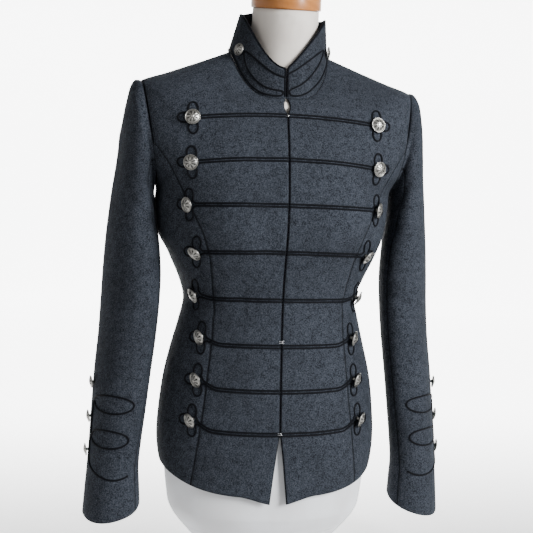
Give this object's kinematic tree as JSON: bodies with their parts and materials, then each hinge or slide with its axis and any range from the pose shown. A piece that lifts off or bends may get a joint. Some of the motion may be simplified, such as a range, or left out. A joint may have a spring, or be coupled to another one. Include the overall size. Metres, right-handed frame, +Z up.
{
  "type": "napoleon jacket on a dress form",
  "caption": "Fitted hussar-style wool jacket with a stand collar, corded frogging rows that end in trefoil loops, domed metal buttons and corded cuffs, worn on a limbless dress form.",
  "frame": {"origin": "centre of the flat underside of the dress form", "axes": "+Z up; the jacket front faces -Y; +X is the wearer's left"},
  "size_m": [0.5058, 0.2501, 0.802],
  "materials": {
    "wool": "heathered charcoal melton, matt with a slight nap",
    "cord": "black rayon soutache, faint sheen",
    "button_metal": "antiqued pewter with darkened recesses",
    "form_cover": "smooth off-white stretch jersey",
    "cap_wood": "varnished turned hardwood"
  },
  "bodies": {
    "root": {"front_left": "wool", "front_right": "wool", "side_front_left": "wool", "side_front_right": "wool", "side_back_left": "wool", "side_back_right": "wool", "back_left": "wool", "back_right": "wool", "sleeve_upper_left": "wool", "sleeve_upper_right": "wool", "sleeve_under_left": "wool", "sleeve_under_right": "wool", "collar": "wool", "frog_row1_left": "cord", "frog_row1_right": "cord", "frog_row2_left": "cord", "frog_row2_right": "cord", "frog_row3_left": "cord", "frog_row3_right": "cord", "frog_row4_left": "cord", "frog_row4_right": "cord", "frog_row5_left": "cord", "frog_row5_right": "cord", "frog_row6_left": "cord", "frog_row6_right": "cord", "frog_row7_left": "cord", "frog_row7_right": "cord", "frog_row8_left": "cord", "frog_row8_right": "cord", "cuff_cord_left": "cord", "cuff_cord_right": "cord", "collar_cord_left": "cord", "collar_cord_right": "cord", "button_row1_left": "button_metal", "button_row1_right": "button_metal", "button_row2_left": "button_metal", "button_row2_right": "button_metal", "button_row3_left": "button_metal", "button_row3_right": "button_metal", "button_row4_left": "button_metal", "button_row4_right": "button_metal", "button_row5_left": "button_metal", "button_row5_right": "button_metal", "button_row6_left": "button_metal", "button_row6_right": "button_metal", "button_row7_left": "button_metal", "button_row7_right": "button_metal", "button_row8_left": "button_metal", "button_row8_right": "button_metal", "button_cuff1_left": "button_metal", "button_cuff1_right": "button_metal", "button_cuff2_left": "button_metal", "button_cuff2_right": "button_metal", "button_cuff3_left": "button_metal", "button_cuff3_right": "button_metal", "button_collar_left": "button_metal", "button_collar_right": "button_metal", "form_torso": "form_cover", "form_cap": "cap_wood"}
  },
  "joints": []
}
